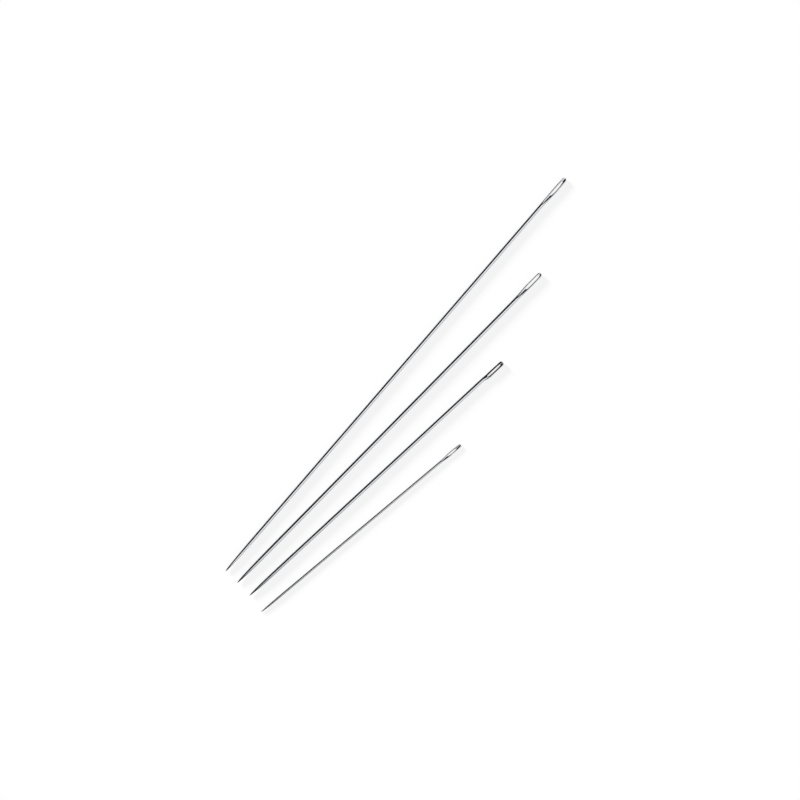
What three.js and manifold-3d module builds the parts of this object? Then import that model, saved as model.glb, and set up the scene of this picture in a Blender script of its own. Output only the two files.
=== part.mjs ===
// Four long straight hand needles, of the 6, 5, 4 and 3 inch sizes, lying side by side in an open fan.
// Each needle is one length of plated steel wire. One end is ground to a sharp point. The other end is
// stamped: the wire is pressed flatter and wider, a thread gutter is sunk into both faces and a long eye is
// punched through. Millimetres, +Z up from the table. +X runs along the longest needle from its point to its
// eye, and the origin is on the table, in the middle of the fan.

import * as THREE from 'three';
import { mergeVertices } from 'three/addons/utils/BufferGeometryUtils.js';
import Module from 'manifold-3d';

const wasm = await Module();
wasm.setup();

const { degToRad, lerp, smoothstep } = THREE.MathUtils;

// Driving sizes of each needle, longest first. wire is the shank's diameter. eye is the stamped end: its
// outside width, where it starts to widen below the opening, where it is fully wide past the opening's lower
// end, the share of the extra width that is lost again by the end of the crown, and how far it sits beside
// the wire's axis. slot is the opening: length, width, and fullness, which is 2 for an oval and more for
// straighter sides. crown is the steel left beyond the opening. gutter is how far the thread gutter runs
// below and beyond the opening, and its depth; it may run off the end. tip places the point beside the
// longest needle's point, and fan is the turn away from the longest needle in degrees.
const NEEDLES = [
  {
    name: 'needle_6in', length: 152.6, wire: 1.17, crown: 1.3, tip: [0, 0], fan: 0,
    eye: { width: 1.52, neckLength: 4.3, shoulder: 2.1, closeIn: 0.4, drift: -0.2 },
    slot: { length: 5.4, width: 0.66, fullness: 2 },
    gutter: { below: 2.9, beyond: 4, depth: 0.26 },
  },
  {
    name: 'needle_5in', length: 127.35, wire: 1.24, crown: 0.7, tip: [-0.35, -4.81], fan: -3.7,
    eye: { width: 1.54, neckLength: 4.2, shoulder: 1.2, closeIn: 0.3, drift: 0 },
    slot: { length: 5.7, width: 0.66, fullness: 3 },
    gutter: { below: 2.6, beyond: 2, depth: 0.14 },
  },
  {
    name: 'needle_4in', length: 101.2, wire: 1.17, crown: 1.15, tip: [-0.8, -10], fan: -6.4,
    eye: { width: 1.56, neckLength: 2, shoulder: 0.7, closeIn: 0.1, drift: -0.33 },
    slot: { length: 5.1, width: 0.46, fullness: 2.6 },
    gutter: { below: 0.3, beyond: 0.6, depth: 0.1 },
  },
  {
    name: 'needle_3in', length: 76.55, wire: 0.76, crown: 1.7, tip: [-2.25, -15.73], fan: -9.3,
    eye: { width: 1.12, neckLength: 3, shoulder: 1.4, closeIn: 0.4, drift: 0 },
    slot: { length: 3.5, width: 0.46, fullness: 2 },
    gutter: { below: 2.1, beyond: 2.4, depth: 0.13 },
  },
];

// Proportions that all the needles share, in wire diameters unless stated.
const POINT_LENGTH = 14; // ground point
const EYE_THICKNESS = 0.78; // stamped thickness
const EYE_SQUARE = 6; // section beside the opening: 2 is an oval, and more has a flatter top
const CAP_LENGTH = 0.5; // rounded end
const GUTTER_WIDTH = 1.46; // gutter across the opening's middle, in opening widths
const GUTTER_BLUNT = 3; // 2 is a long oval, and more is a groove with blunter ends
const STAMP_HEIGHT = 1; // centre of the gutter's stamp above the axis

// Facet counts.
const WIRE_SIDES = 24;
const POINT_STEPS = 16;
const HEAD_STEPS = 30;
const CAP_STEPS = 6;
const SLOT_STEPS = 40;
const STAMP_STEPS = 28;

const HALF_SIDE = Math.PI / WIRE_SIDES;

// Stations along one needle, measured from its point, and the sizes that follow from them.
function layOut(sizes) {
  const { length, wire, crown, eye, slot, gutter } = sizes;
  const slotEnd = length - crown;
  const slotStart = slotEnd - slot.length;
  return {
    ...sizes,
    radius: wire / 2,
    pointEnd: POINT_LENGTH * wire,
    neck: slotStart - eye.neckLength,
    gutterStart: slotStart - gutter.below,
    slotStart,
    fullWidth: slotStart + eye.shoulder,
    slotMiddle: (slotStart + slotEnd) / 2,
    closing: slotEnd - eye.shoulder,
    slotEnd,
    gutterEnd: slotEnd + gutter.beyond,
    capStart: length - CAP_LENGTH * wire,
  };
}

// Revolves (radius, station) points about the needle's axis, which becomes X. One flat side faces down, and
// the flat sides touch the round that they stand for.
function turned(profile) {
  const outside = profile.map(({ x, y }) => new THREE.Vector2(x / Math.cos(HALF_SIDE), y));
  const geometry = new THREE.LatheGeometry(outside, WIRE_SIDES, HALF_SIDE);
  return geometry.rotateZ(-Math.PI / 2);
}

// Ground point, steep at its tip and fading into the round wire, up to where the stamping starts.
function shankGeometry({ radius, pointEnd, neck }) {
  const point = new THREE.QuadraticBezierCurve(
    new THREE.Vector2(0, 0),
    new THREE.Vector2(radius, 0),
    new THREE.Vector2(radius, pointEnd),
  );
  return turned([
    ...point.getPoints(POINT_STEPS),
    new THREE.Vector2(radius, neck),
    new THREE.Vector2(0, neck),
  ]);
}

// Width of the stamped end over the wire's diameter: it swells to the eye and closes in a little to the end.
function spreadAt({ wire, eye, neck, fullWidth, slotMiddle, length }, station) {
  const swell = smoothstep(station, neck, fullWidth);
  const closeIn = eye.closeIn * smoothstep(station, slotMiddle, length);
  return 1 + (eye.width / wire - 1) * (swell - closeIn);
}

// Height of the pressed wire over the radius of the round one. across runs from 0 on the middle line to 1 at
// the side.
function pressedShare({ neck, gutterStart, slotStart, fullWidth, closing, gutterEnd }, station, across) {
  const thickness = lerp(1, EYE_THICKNESS, smoothstep(station, neck, slotStart));
  const flat = smoothstep(station, gutterStart, fullWidth) - smoothstep(station, closing, gutterEnd);
  const square = lerp(2, EYE_SQUARE, flat);
  return thickness * (1 - across ** square) ** (1 / square);
}

// Stamped end before the gutters and the eye are cut: round wire pressed wider and flatter, with a round end.
function pressedWire(needle) {
  const { radius, neck, capStart, length } = needle;
  const profile = [new THREE.Vector2(0, neck)];
  for (let step = 0; step <= HEAD_STEPS; step += 1) {
    profile.push(new THREE.Vector2(radius, lerp(neck, capStart, step / HEAD_STEPS)));
  }
  const cap = new THREE.EllipseCurve(0, capStart, radius, length - capStart, 0, Math.PI / 2);
  profile.push(...cap.getPoints(CAP_STEPS).slice(1, -1));
  profile.push(new THREE.Vector2(0, length));

  const geometry = turned(profile);
  const { position } = geometry.attributes;
  for (let i = 0; i < position.count; i += 1) {
    const station = position.getX(i);
    const round = Math.hypot(position.getY(i), position.getZ(i));
    if (round > 0) {
      const across = Math.abs(position.getY(i)) / round;
      const height = round * pressedShare(needle, station, across);
      position.setY(i, position.getY(i) * spreadAt(needle, station));
      position.setZ(i, Math.sign(position.getZ(i)) * height);
    }
  }
  return geometry;
}

function signedPower(value, power) {
  return Math.sign(value) * Math.abs(value) ** power;
}

// Punch for the eye: a long rounded outline, taller than the wire.
function eyePunch({ slot, slotMiddle, wire }) {
  const outline = [];
  for (let step = 0; step < SLOT_STEPS; step += 1) {
    const turn = (2 * Math.PI * step) / SLOT_STEPS;
    const along = signedPower(Math.cos(turn), 2 / slot.fullness);
    const across = signedPower(Math.sin(turn), 2 / slot.fullness);
    outline.push(new THREE.Vector2(slotMiddle + (along * slot.length) / 2, (across * slot.width) / 2));
  }
  const settings = { depth: 2 * wire, bevelEnabled: false };
  const geometry = new THREE.ExtrudeGeometry(new THREE.Shape(outline), settings);
  return geometry.translate(0, 0, -wire);
}

// Stamp for the gutter in one face, +1 for the upper and -1 for the lower: a long blunt ball that sinks into
// the face and fades out down the shank and towards the crown.
function gutterStamp(needle, face) {
  const { wire, radius, slot, gutter, gutterStart, gutterEnd } = needle;
  const height = STAMP_HEIGHT * wire;
  const lift = height - EYE_THICKNESS * radius;
  const tall = gutter.depth + lift;
  const sunk = 1 - (lift / tall) ** 2;
  const reach = (gutterEnd - gutterStart) / 2 / sunk ** (1 / GUTTER_BLUNT);
  const half = (GUTTER_WIDTH * slot.width) / 2 / Math.sqrt(sunk);

  const profile = [];
  for (let step = 0; step <= STAMP_STEPS; step += 1) {
    const along = -Math.cos((Math.PI * step) / STAMP_STEPS);
    profile.push(new THREE.Vector2(Math.sqrt(1 - Math.abs(along) ** GUTTER_BLUNT), along));
  }
  const geometry = turned(profile).scale(reach, half, tall);
  return geometry.translate((gutterStart + gutterEnd) / 2, 0, face * height);
}

function toSolid(geometry) {
  const bare = geometry.clone();
  bare.deleteAttribute('normal');
  bare.deleteAttribute('uv');
  const merged = mergeVertices(bare);
  return new wasm.Manifold(new wasm.Mesh({
    numProp: 3,
    vertProperties: new Float32Array(merged.attributes.position.array),
    triVerts: new Uint32Array(merged.index.array),
  }));
}

function toGeometry(solid) {
  const mesh = solid.getMesh();
  const geometry = new THREE.BufferGeometry();
  geometry.setAttribute('position', new THREE.BufferAttribute(mesh.vertProperties, mesh.numProp));
  geometry.setIndex(new THREE.BufferAttribute(mesh.triVerts, 1));
  return geometry;
}

// Stamped end with its gutters and its eye, moved beside the wire's axis by its drift.
function eyeGeometry(needle) {
  const tools = [gutterStamp(needle, 1), gutterStamp(needle, -1), eyePunch(needle)];
  const cut = tools.reduce((solid, tool) => solid.subtract(toSolid(tool)), toSolid(pressedWire(needle)));
  const geometry = toGeometry(cut);
  const { position } = geometry.attributes;
  for (let i = 0; i < position.count; i += 1) {
    const drift = needle.eye.drift * smoothstep(position.getX(i), needle.neck, needle.fullWidth);
    position.setY(i, position.getY(i) + drift);
  }
  geometry.computeVertexNormals();
  return geometry;
}

function polishedSteel() {
  return new THREE.MeshStandardMaterial({ color: 0xc6c9ce, roughness: 0.15, metalness: 1 });
}

function stampedSteel() {
  return new THREE.MeshStandardMaterial({ color: 0xbcc0c6, roughness: 0.24, metalness: 1 });
}

function makeNeedle(sizes) {
  const needle = layOut(sizes);
  const shank = new THREE.Mesh(shankGeometry(needle), polishedSteel());
  shank.name = `${needle.name}_shank`;
  const eye = new THREE.Mesh(eyeGeometry(needle), stampedSteel());
  eye.name = `${needle.name}_eye`;

  const group = new THREE.Group();
  group.name = needle.name;
  group.add(shank, eye);
  group.position.set(needle.tip[0], needle.tip[1], needle.radius);
  group.rotation.z = degToRad(needle.fan);
  return group;
}

const fan = new THREE.Group();
fan.add(...NEEDLES.map(makeNeedle));

const middle = new THREE.Box3().setFromObject(fan, true).getCenter(new THREE.Vector3());
fan.position.set(-middle.x, -middle.y, 0);

const needleSet = new THREE.Group();
needleSet.name = 'needle_set';
needleSet.add(fan);

export default needleSet;
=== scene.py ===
"""Dresses a set of four long hand needles and lights them on a white table.

Each needle is one smooth mesh of plated steel wire, worked out from the sizes of its solids: a ground
point, a round shank, and a stamped end with a thread gutter in both faces and a long eye, whose opening
is called the slot here.
"""

from itertools import pairwise
from math import asin, copysign, cos, pi, radians, sin, sqrt

import bmesh
import bpy
from mathutils import Matrix, Vector


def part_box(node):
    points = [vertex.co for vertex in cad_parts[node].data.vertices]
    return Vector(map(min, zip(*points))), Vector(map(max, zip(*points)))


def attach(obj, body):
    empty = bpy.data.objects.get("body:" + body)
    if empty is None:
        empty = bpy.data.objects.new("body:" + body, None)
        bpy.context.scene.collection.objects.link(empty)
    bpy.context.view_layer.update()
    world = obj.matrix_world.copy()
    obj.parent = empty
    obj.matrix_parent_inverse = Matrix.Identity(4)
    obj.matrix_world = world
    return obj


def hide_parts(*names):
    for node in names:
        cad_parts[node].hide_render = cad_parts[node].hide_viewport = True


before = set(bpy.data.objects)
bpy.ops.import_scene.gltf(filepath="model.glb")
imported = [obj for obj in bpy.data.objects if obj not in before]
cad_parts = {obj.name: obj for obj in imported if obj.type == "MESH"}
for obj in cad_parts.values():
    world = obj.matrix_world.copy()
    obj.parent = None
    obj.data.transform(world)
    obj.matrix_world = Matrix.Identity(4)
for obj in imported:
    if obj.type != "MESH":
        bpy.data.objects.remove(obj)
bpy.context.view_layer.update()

# Lengths are in millimetres until they reach Blender, and angles are in degrees.
MM = 0.001

# Proportions that the needles share, in wire diameters unless a note says otherwise.
POINT_LENGTH = 14.0
CAP_LENGTH = 0.5  # rounding of the crown's end
EYE_THICKNESS = 0.78
EYE_SQUARE = 6.0  # section beside the slot, on a scale where more has a flatter top
WIRE_SQUARE = 2.0  # the round wire's section on that scale
STAMP_HEIGHT = 1.0  # the stamp's centre above the axis
GUTTER_WIDTH = 1.46  # in slot widths
GUTTER_BLUNT = 3.0  # 2 is a long oval, and more is a groove with blunter ends
RIM_ROUND = 0.035  # rounding of the slot's rim
RIDGE_ROUND = 0.05  # softening where the gutter meets the face
STAMPED_FULL = 0.3  # depth below the plain wire that counts as fully stamped, in wire radii
HAIR = 0.01  # the smooth eye is this much narrower than the solid's, in millimetres

# Rows of the mesh along a needle, and columns round a quarter of it.
COLUMNS = 16
POINT_ROWS = 26
SHANK_ROWS = 14
NECK_ROWS = 34
SLOT_ROWS = 48
CROWN_ROWS = 9
CAP_ROWS = 10
WALL_ROWS = 2  # up the slot's wall to its rim
RIM_ROWS = 3
TIP_CROWDING = 1.6  # above 1 the rows crowd towards the tip
WELD = 1e-5  # points closer than this are one point

# Picture: width of the frame, its middle in the part's frame, and the turn of the longest needle in it.
PICTURE_WIDTH = 234.99
PICTURE_MIDDLE = (-3.625, 8.042)
PICTURE_TURN = 49.21
LENS = 300.0
SENSOR = 36.0

# Room that the steel mirrors: dark, with dim ends and a white wall along its -Y side.
WALL_WHITE = (1.1, 1.11, 1.13)
WALL_HEM = (0.12, 0.12, 0.125)  # the wall's foot, near the table
ROOM_DARK = (0.018, 0.018, 0.02)
ROOM_ENDS = (0.3, 0.3, 0.31)

# Edges in the room, as the X, Y or Z of a direction of length 1: where a step starts and where it ends.
WALL_EDGE = (-0.06, -0.32)  # in Y: the wall starts just past straight up, on the -Y side
WALL_NEAR = (-0.2, -0.08)  # in X: its long part, from the middle to the +X end
WALL_FAR = (-0.44, -0.56)  # in X: its short part at the -X end, past a dark gap
WALL_RISE = (0.02, 0.35)  # in Z: from the foot to full white
ENDS_EDGE = (0.44, 0.6)  # in X, either way

# Key lamp: a broad, low sun on the +Y side.
KEY_STRENGTH = 7.7
KEY_ANGLE = 12.0
KEY_ELEVATION = 17.0
KEY_TURN = 90.0

# Table: its colour, and how much of it is plain white to the camera and in the steel.
TABLE_SIZE = 4000.0
TABLE_COLOUR = (0.9, 0.9, 0.9)
TABLE_GLOW = 0.84
TABLE_GLOW_IN_STEEL = 0.3
WHITE = (1.0, 1.0, 1.0)

# Steel: colours of the plating, and a darker tint for the stamped gutter and the eye's walls that is painted
# recess shade.
PLATING_COOL = (0.72, 0.735, 0.76)
PLATING_WARM = (0.74, 0.74, 0.745)
# Painted shade: this tint darkens the recesses of the gutter and the slot, more where they lie deeper.
STAMPED_SHADE_TINT = (0.62, 0.63, 0.65)

# Roughness of the polished wire, and what drawing lines, smudges and stamping add to it.
ROUGH_POLISHED = 0.05
ROUGH_LINES = 0.04
ROUGH_SMUDGES = 0.05
ROUGH_STAMPED = 0.06

# Sizes of the marks on the steel, and the octaves of noise that make them.
LINE_LENGTH = 12.0
LINE_WIDTH = 0.05
LINE_HEIGHT = 0.0012
LINE_DETAIL = 3.0
SMUDGE_SIZE = 6.0
SMUDGE_DETAIL = 4.0
PATCH_SIZE = 30.0
PATCH_DETAIL = 2.0


def clamp(value):
    return min(max(value, 0.0), 1.0)


def lerp(low, high, share):
    return low + (high - low) * share


def smoothstep(value, low, high):
    share = clamp((value - low) / (high - low))
    return share * share * (3.0 - 2.0 * share)


def soft_min(a, b, blend):
    """The lower of two heights, with the ridge between them rounded over."""
    near = max(blend - abs(a - b), 0.0) / blend
    return min(a, b) - near * near * blend / 4.0


def steps(low, high, count):
    """Evenly spaced values from low to high, both included."""
    return [lerp(low, high, i / count) for i in range(count + 1)]


class Needle:
    """One needle: its sizes, stations along it from its point, and the shape of its upper face.

    The wire widens over the neck and the shoulder, on both sides of the slot's start. From the slot's
    middle to the needle's end it loses a share of that again, close_in. The crown is what lies past the
    slot, and the drift is how far the eye sits beside the wire's axis. A slot_full of 2 makes the slot
    an oval, and more makes its ends blunter. The gutter starts below the slot and ends beyond it. The
    faces turn flat over flat_rise, measured from the slot's start, and round again over flat_fade, from
    its end.
    """

    def __init__(
        self, name, length, wire, tip, fan, drift,
        eye_width, neck, shoulder, close_in, crown,
        slot_length, slot_width, slot_full,
        gutter_below, gutter_beyond, gutter_depth, gutter_width=GUTTER_WIDTH,
        square=EYE_SQUARE, flat_rise=None, flat_fade=None,
    ):
        self.name = name
        self.length = length
        self.wire = wire
        self.radius = wire / 2
        self.tip = Vector(tip)
        self.fan = radians(fan)
        self.drift = drift
        self.point_end = POINT_LENGTH * wire
        self.cap_length = CAP_LENGTH * wire
        self.cap_start = length - self.cap_length

        self.slot_end = length - crown
        self.slot_start = self.slot_end - slot_length
        self.slot_middle = self.slot_end - slot_length / 2
        self.slot_reach = slot_length / 2
        self.slot_half = slot_width / 2
        self.slot_full = slot_full
        self.rim = RIM_ROUND * wire

        self.eye_spread = (eye_width - HAIR) / wire - 1
        self.close_in = close_in
        self.neck_start = self.slot_start - neck
        self.full_width = self.slot_start + shoulder
        self.square = square
        self.flat_rise = [self.slot_start + reach for reach in flat_rise or (-gutter_below, shoulder)]
        self.flat_fade = [self.slot_end + reach for reach in flat_fade or (-shoulder, gutter_beyond)]

        gutter_start = self.slot_start - gutter_below
        gutter_end = self.slot_end + gutter_beyond
        self.stamp_height = STAMP_HEIGHT * wire
        lift = self.stamp_height - EYE_THICKNESS * self.radius
        self.stamp_tall = gutter_depth + lift
        sunk = 1 - (lift / self.stamp_tall) ** 2
        self.stamp_middle = (gutter_start + gutter_end) / 2
        self.stamp_reach = (gutter_end - gutter_start) / 2 / sunk ** (1 / GUTTER_BLUNT)
        self.stamp_half = gutter_width * slot_width / 2 / sqrt(sunk)

    def plain_radius(self, x):
        """Radius at a station before the wire is stamped: ground point, shank, rounded cap."""
        if x < self.point_end:
            share = sqrt(x / self.point_end)
            return self.radius * share * (2 - share)
        beyond = clamp((x - self.cap_start) / self.cap_length)
        return self.radius * sqrt(1 - beyond**2)

    def half_width(self, x):
        swell = smoothstep(x, self.neck_start, self.full_width)
        close_in = self.close_in * smoothstep(x, self.slot_middle, self.length)
        return self.plain_radius(x) * (1 + self.eye_spread * (swell - close_in))

    def pressed_height(self, x, across):
        """Height of the pressed wire above its axis. Across is 0 on the middle line and 1 at the side."""
        thickness = lerp(1.0, EYE_THICKNESS, smoothstep(x, self.neck_start, self.slot_start))
        flat = smoothstep(x, *self.flat_rise) - smoothstep(x, *self.flat_fade)
        square = lerp(WIRE_SQUARE, self.square, flat)
        return self.plain_radius(x) * thickness * max(1 - across**square, 0) ** (1 / square)

    def off_axis(self, x):
        """How far the stamped end sits beside the wire's axis at a station."""
        return self.drift * smoothstep(x, self.neck_start, self.full_width)

    def gutter_floor(self, x, y):
        """Height of the gutter's floor. Where the stamp doesn't reach, it is above the wire."""
        along = (x - self.stamp_middle) / self.stamp_reach
        across = y / self.stamp_half
        return self.stamp_height - self.stamp_tall * sqrt(max(1 - abs(along) ** GUTTER_BLUNT - across**2, 0))

    def face(self, x, angle):
        """Point of the upper face. The angle runs from 0 on the middle line to a right angle at the side."""
        y = self.half_width(x) * sin(angle)
        plain = self.pressed_height(x, sin(angle))
        return Vector((x, y, soft_min(plain, self.gutter_floor(x, y), RIDGE_ROUND * self.wire)))

    def stamped_share(self, place):
        """0 on the drawn wire, 1 in the gutter and in the eye: it makes them rougher, and darker with
        painted recess shade.
        """
        wide = self.half_width(place.x)
        if wide < WELD:
            return 0.0
        plain = self.pressed_height(place.x, min(abs(place.y) / wide, 1))
        return clamp((plain - abs(place.z)) / (STAMPED_FULL * self.radius))


# Each tip is measured from the longest needle's tip, and each fan angle from that needle's direction.
# The 4 inch needle has flatter faces up to a square end, and a gutter that hardly leaves the slot.
NEEDLES = (
    Needle(
        "needle_6in", length=152.6, wire=1.17, tip=(0.0, 0.0), fan=0.0, drift=-0.2,
        eye_width=1.52, neck=4.3, shoulder=2.1, close_in=0.4, crown=1.3,
        slot_length=5.4, slot_width=0.66, slot_full=2.0,
        gutter_below=2.9, gutter_beyond=4.0, gutter_depth=0.26,
    ),
    Needle(
        "needle_5in", length=127.35, wire=1.24, tip=(-0.35, -4.81), fan=-3.7, drift=0.0,
        eye_width=1.54, neck=4.2, shoulder=1.2, close_in=0.3, crown=0.7,
        slot_length=5.7, slot_width=0.66, slot_full=3.0,
        gutter_below=2.6, gutter_beyond=2.0, gutter_depth=0.14,
    ),
    Needle(
        "needle_4in", length=101.2, wire=1.17, tip=(-0.8, -10.0), fan=-6.4, drift=-0.33,
        eye_width=1.56, neck=2.0, shoulder=0.7, close_in=0.1, crown=1.15,
        slot_length=5.1, slot_width=0.46, slot_full=2.6,
        gutter_below=0.02, gutter_beyond=0.6, gutter_depth=0.1, gutter_width=1.05,
        square=9.0, flat_rise=(0.0, 0.9), flat_fade=(0.2, 1.6),
    ),
    Needle(
        "needle_3in", length=76.55, wire=0.76, tip=(-2.25, -15.73), fan=-9.3, drift=0.0,
        eye_width=1.12, neck=3.0, shoulder=1.4, close_in=0.4, crown=1.7,
        slot_length=3.5, slot_width=0.46, slot_full=2.0,
        gutter_below=2.1, gutter_beyond=2.4, gutter_depth=0.13,
    ),
)


def plain_row(needle, x):
    """Upper face of one section away from the slot, from the middle line round to the side."""
    return [needle.face(x, angle) for angle in steps(0, pi / 2, COLUMNS)]


def rows_before_slot(needle):
    shares = [share**TIP_CROWDING for share in steps(0, 1, POINT_ROWS)[1:]]
    stations = [needle.point_end * share for share in shares]
    stations += steps(needle.point_end, needle.neck_start, SHANK_ROWS)[1:]
    stations += steps(needle.neck_start, needle.slot_start - needle.rim, NECK_ROWS)[1:-1]
    return [plain_row(needle, x) for x in stations]


def rows_after_slot(needle):
    stations = steps(needle.slot_end + needle.rim, needle.cap_start, CROWN_ROWS)[1:]
    for turn in steps(0, pi / 2, CAP_ROWS)[1:-1]:
        stations.append(needle.cap_start + needle.cap_length * sin(turn))
    return [plain_row(needle, x) for x in stations if x > needle.slot_end + needle.rim]


def slot_outline(needle):
    """(place, outward direction) along one side of the slot, from its lower end to its upper end."""
    outline = []
    power = 2 / needle.slot_full
    for turn in steps(0, pi, SLOT_ROWS):
        along = copysign(abs(cos(turn)) ** power, -cos(turn))
        across = clamp(sin(turn)) ** power
        place = Vector((needle.slot_middle + needle.slot_reach * along, needle.slot_half * across, 0))
        lean = copysign(abs(along) ** (needle.slot_full - 1), along) / needle.slot_reach
        rise = across ** (needle.slot_full - 1) / needle.slot_half
        outline.append((place, Vector((lean, rise, 0)).normalized()))
    outline[-1][0].y = 0.0
    return outline


def slot_rows(needle):
    """Rows past the slot as (upper face, wall): the wall climbs from the middle plane to the rim."""
    outline = slot_outline(needle)
    walked = [0.0]
    for (a, _), (b, _) in pairwise(outline):
        walked.append(walked[-1] + (b - a).length)
    rows = []
    for (place, outward), distance in zip(outline, walked):
        inner = place + outward * needle.rim
        outer_x = lerp(needle.slot_start - needle.rim, needle.slot_end + needle.rim, distance / walked[-1])
        inner_angle = asin(inner.y / needle.half_width(inner.x))
        face = []
        for share in steps(0, 1, COLUMNS):
            face.append(needle.face(lerp(inner.x, outer_x, share), lerp(inner_angle, pi / 2, share)))
        straight = face[0].z - needle.rim
        wall = [place + Vector((0, 0, z)) for z in steps(0, straight, WALL_ROWS)]
        for turn in steps(0, pi / 2, RIM_ROWS)[1:-1]:
            rise = Vector((0, 0, straight + needle.rim * sin(turn)))
            wall.append(place + outward * needle.rim * (1 - cos(turn)) + rise)
        rows.append((face, wall))
    return rows


def skin(shell, rows):
    """Quads between neighbouring rows of vertices."""
    for low, high in pairwise(rows):
        for (a, b), (c, d) in zip(pairwise(low), pairwise(high)):
            shell.faces.new((a, b, d, c))


def close_end(shell, middle, row):
    """Triangles from a needle's end to the row next to it."""
    pole = shell.verts.new(middle)
    for a, b in pairwise(row):
        shell.faces.new((pole, a, b))


def quarter_shell(needle):
    """A quarter of the needle, from its middle line to its side and from its middle plane up."""
    shell = bmesh.new()

    def grow(points):
        return [shell.verts.new(point) for point in points]

    before = [grow(row) for row in rows_before_slot(needle)]
    past = []
    walls = []
    for face, wall in slot_rows(needle):
        past.append(grow(face))
        walls.append(grow(wall) + [past[-1][0]])
    after = [grow(row) for row in rows_after_slot(needle)]
    rows = before + past + after
    skin(shell, rows)
    skin(shell, walls)
    close_end(shell, (0, 0, 0), rows[0])
    close_end(shell, (needle.length, 0, 0), rows[-1])
    return shell


def mirror_quarter(shell):
    """Mirrors a quarter across and down, with the points on the two mirror planes exactly on them."""
    for vertex in shell.verts:
        for axis in (1, 2):
            if abs(vertex.co[axis]) < WELD:
                vertex.co[axis] = 0.0
    for axis in "YZ":
        everything = shell.verts[:] + shell.edges[:] + shell.faces[:]
        bmesh.ops.mirror(shell, geom=everything, matrix=Matrix(), merge_dist=WELD, axis=axis)
    bmesh.ops.recalc_face_normals(shell, faces=shell.faces[:])


def place_of(needle):
    """Where the needle lies: its point beside the longest needle's point, resting on the table."""
    low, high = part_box("needle_6in_shank")
    first_tip = Vector((low[0], (low[1] + high[1]) / 2, 0))
    tip = first_tip + Vector((needle.tip.x, needle.tip.y, needle.radius)) * MM
    return Matrix.Translation(tip) @ Matrix.Rotation(needle.fan, 4, "Z")


def needle_mesh(needle):
    """The whole needle in its place, with what the steel needs to know at each point."""
    shell = quarter_shell(needle)
    mirror_quarter(shell)
    stamped = shell.verts.layers.float.new("stamped")
    on_wire = shell.verts.layers.float_vector.new("on_wire")
    for vertex in shell.verts:
        vertex[stamped] = needle.stamped_share(vertex.co)
        vertex[on_wire] = vertex.co * MM
        vertex.co.y += needle.off_axis(vertex.co.x)
    for face in shell.faces:
        face.smooth = True
    bmesh.ops.transform(shell, matrix=place_of(needle) @ Matrix.Scale(MM, 4), verts=shell.verts[:])

    mesh = bpy.data.meshes.new(needle.name)
    shell.to_mesh(mesh)
    shell.free()
    return mesh


def make_needle(needle, steel):
    mesh = needle_mesh(needle)
    mesh.materials.append(steel)
    piece = bpy.data.objects.new(needle.name + "_wire", mesh)
    bpy.context.collection.objects.link(piece)
    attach(piece, needle.name)
    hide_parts(needle.name + "_shank", needle.name + "_eye")


def opaque(colour):
    return (*colour, 1.0)


class Nodes:
    """Short ways to add nodes to one tree and to join them."""

    def __init__(self, owner):
        owner.use_nodes = True
        self.tree = owner.node_tree
        self.tree.nodes.clear()

    def feed(self, socket, value):
        """Gives an input a plain value, or the output that feeds it."""
        if isinstance(value, bpy.types.NodeSocket):
            self.tree.links.new(value, socket)
        else:
            socket.default_value = value

    def add(self, kind, inputs=None, **settings):
        """A node with these settings and inputs."""
        made = self.tree.nodes.new(kind)
        for name, value in settings.items():
            setattr(made, name, value)
        for name, value in (inputs or {}).items():
            self.feed(made.inputs[name], value)
        return made

    def noise(self, coordinates, size, detail):
        """Noise whose features are this large along X, Y and Z, in millimetres."""
        scale = tuple(1 / (length * MM) for length in size)
        mapped = self.add("ShaderNodeMapping", {"Vector": coordinates, "Scale": scale})
        noise = self.add("ShaderNodeTexNoise", {"Vector": mapped.outputs[0], "Scale": 1.0, "Detail": detail})
        return noise.outputs["Fac"]

    def ramp(self, value, edge):
        """0 before the edge and 1 past it, with a smooth step between. The edge may run downwards."""
        ends = {"Value": value, "From Min": edge[0], "From Max": edge[1]}
        return self.add("ShaderNodeMapRange", ends, interpolation_type="SMOOTHSTEP").outputs[0]

    def math(self, operation, *values):
        return self.add("ShaderNodeMath", dict(enumerate(values)), operation=operation).outputs[0]

    def mix(self, share, a, b):
        """The first colour where the share is 0, and the second where it is 1."""
        mixed = self.add("ShaderNodeMix", data_type="RGBA")
        sockets = {socket.identifier: socket for socket in mixed.inputs}
        self.feed(sockets["Factor_Float"], share)
        for name, colour in (("A_Color", a), ("B_Color", b)):
            self.feed(sockets[name], opaque(colour) if isinstance(colour, tuple) else colour)
        return next(socket for socket in mixed.outputs if socket.identifier == "Result_Color")


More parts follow.
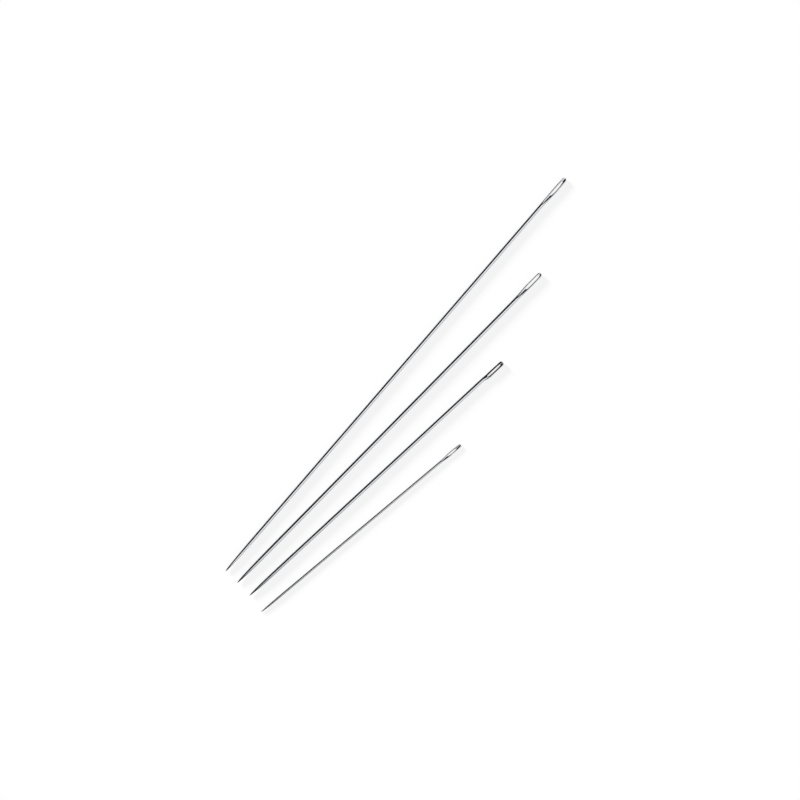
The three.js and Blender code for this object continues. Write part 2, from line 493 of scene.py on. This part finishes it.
def plated_steel():
    """Polished nickel plating: drawing lines along the wire, faint smudges, and a rougher stamped gutter
    whose darker tint is painted recess shade.
    """
    material = bpy.data.materials.new("plated_steel")
    nodes = Nodes(material)
    on_wire = nodes.add("ShaderNodeAttribute", attribute_name="on_wire").outputs["Vector"]
    stamped = nodes.add("ShaderNodeAttribute", attribute_name="stamped").outputs["Fac"]
    lines = nodes.noise(on_wire, (LINE_LENGTH, LINE_WIDTH, LINE_WIDTH), LINE_DETAIL)
    smudges = nodes.noise(on_wire, (SMUDGE_SIZE,) * 3, SMUDGE_DETAIL)
    patches = nodes.noise(on_wire, (PATCH_SIZE,) * 3, PATCH_DETAIL)

    plating = nodes.mix(patches, PLATING_COOL, PLATING_WARM)
    # The gutter and the eye's walls get a darker colour here: painted shade in these recesses, deeper where
    # they sink further.
    colour = nodes.mix(stamped, plating, STAMPED_SHADE_TINT)
    rough = ROUGH_POLISHED
    for mark, added in ((lines, ROUGH_LINES), (smudges, ROUGH_SMUDGES), (stamped, ROUGH_STAMPED)):
        rough = nodes.math("ADD", rough, nodes.math("MULTIPLY", mark, added))
    bump = nodes.add("ShaderNodeBump", {"Height": lines, "Distance": LINE_HEIGHT * MM, "Strength": 1.0})
    shader = nodes.add(
        "ShaderNodeBsdfPrincipled",
        {"Base Color": colour, "Metallic": 1.0, "Roughness": rough, "Normal": bump.outputs[0]},
    )
    nodes.add("ShaderNodeOutputMaterial", {"Surface": shader.outputs[0]})
    return material


def table_glow(nodes):
    """Share of the table that is plain white: most of it to the camera and through glass, less in steel."""
    path = nodes.add("ShaderNodeLightPath").outputs
    straight = nodes.math("MAXIMUM", path["Is Camera Ray"], path["Is Transmission Ray"])
    seen = nodes.math("MULTIPLY", straight, TABLE_GLOW)
    mirrored = nodes.math("MULTIPLY", path["Is Glossy Ray"], TABLE_GLOW_IN_STEEL)
    return nodes.math("MAXIMUM", seen, mirrored)


def white_table():
    material = bpy.data.materials.new("white_table")
    nodes = Nodes(material)
    diffuse = nodes.add("ShaderNodeBsdfDiffuse", {"Color": opaque(TABLE_COLOUR)})
    glow = nodes.add("ShaderNodeEmission", {"Color": opaque(WHITE), "Strength": 1.0})
    share = table_glow(nodes)
    mixed = nodes.add("ShaderNodeMixShader", {0: share, 1: diffuse.outputs[0], 2: glow.outputs[0]})
    nodes.add("ShaderNodeOutputMaterial", {"Surface": mixed.outputs[0]})
    return material


def make_table():
    """White table top. Part of what the camera sees of it is plain white, so the shadows stay faint."""
    half = TABLE_SIZE / 2 * MM
    corners = [(-half, -half, 0), (half, -half, 0), (half, half, 0), (-half, half, 0)]
    mesh = bpy.data.meshes.new("table")
    mesh.from_pydata(corners, [], [(0, 1, 2, 3)])
    table = bpy.data.objects.new("table", mesh)
    bpy.context.collection.objects.link(table)
    mesh.materials.append(white_table())


def make_room():
    """World: the room to the steel, and plain white where the camera looks straight at it."""
    world = bpy.data.worlds.new("tent")
    bpy.context.scene.world = world
    nodes = Nodes(world)
    direction = nodes.add("ShaderNodeTexCoord").outputs["Generated"]
    axes = nodes.add("ShaderNodeSeparateXYZ", {0: direction}).outputs

    along_wall = nodes.math("MAXIMUM", nodes.ramp(axes["X"], WALL_NEAR), nodes.ramp(axes["X"], WALL_FAR))
    on_wall = nodes.math("MULTIPLY", nodes.ramp(axes["Y"], WALL_EDGE), along_wall)
    wall = nodes.mix(nodes.ramp(axes["Z"], WALL_RISE), WALL_HEM, WALL_WHITE)
    at_ends = nodes.ramp(nodes.math("ABSOLUTE", axes["X"]), ENDS_EDGE)
    room = nodes.mix(on_wall, nodes.mix(at_ends, ROOM_DARK, ROOM_ENDS), wall)

    camera_ray = nodes.add("ShaderNodeLightPath").outputs["Is Camera Ray"]
    colour = nodes.mix(camera_ray, room, WHITE)
    background = nodes.add("ShaderNodeBackground", {"Color": colour, "Strength": 1.0})
    nodes.add("ShaderNodeOutputWorld", {"Surface": background.outputs[0]})


def make_key_lamp():
    """Lights the table and gives the shadows. The steel doesn't mirror it: it would be a hard line there."""
    light = bpy.data.lights.new("key", "SUN")
    light.energy = KEY_STRENGTH
    light.angle = radians(KEY_ANGLE)
    lamp = bpy.data.objects.new("key", light)
    bpy.context.collection.objects.link(lamp)
    turn = radians(KEY_TURN)
    rise = radians(KEY_ELEVATION)
    towards = Vector((cos(turn) * cos(rise), sin(turn) * cos(rise), sin(rise)))
    lamp.rotation_euler = towards.to_track_quat("Z", "Y").to_euler()
    lamp.visible_glossy = False


def make_camera():
    """Straight above the table, turned so that the longest needle runs to the upper right."""
    data = bpy.data.cameras.new("camera")
    data.lens = LENS
    data.sensor_width = SENSOR
    camera = bpy.data.objects.new("camera", data)
    bpy.context.collection.objects.link(camera)
    distance = PICTURE_WIDTH * LENS / SENSOR
    camera.location = Vector((*PICTURE_MIDDLE, distance)) * MM
    camera.rotation_euler = (0, 0, -radians(PICTURE_TURN))
    bpy.context.scene.camera = camera


bpy.context.scene.view_settings.view_transform = "Standard"
make_camera()
steel = plated_steel()
for needle in NEEDLES:
    make_needle(needle, steel)
make_table()
make_room()
make_key_lamp()
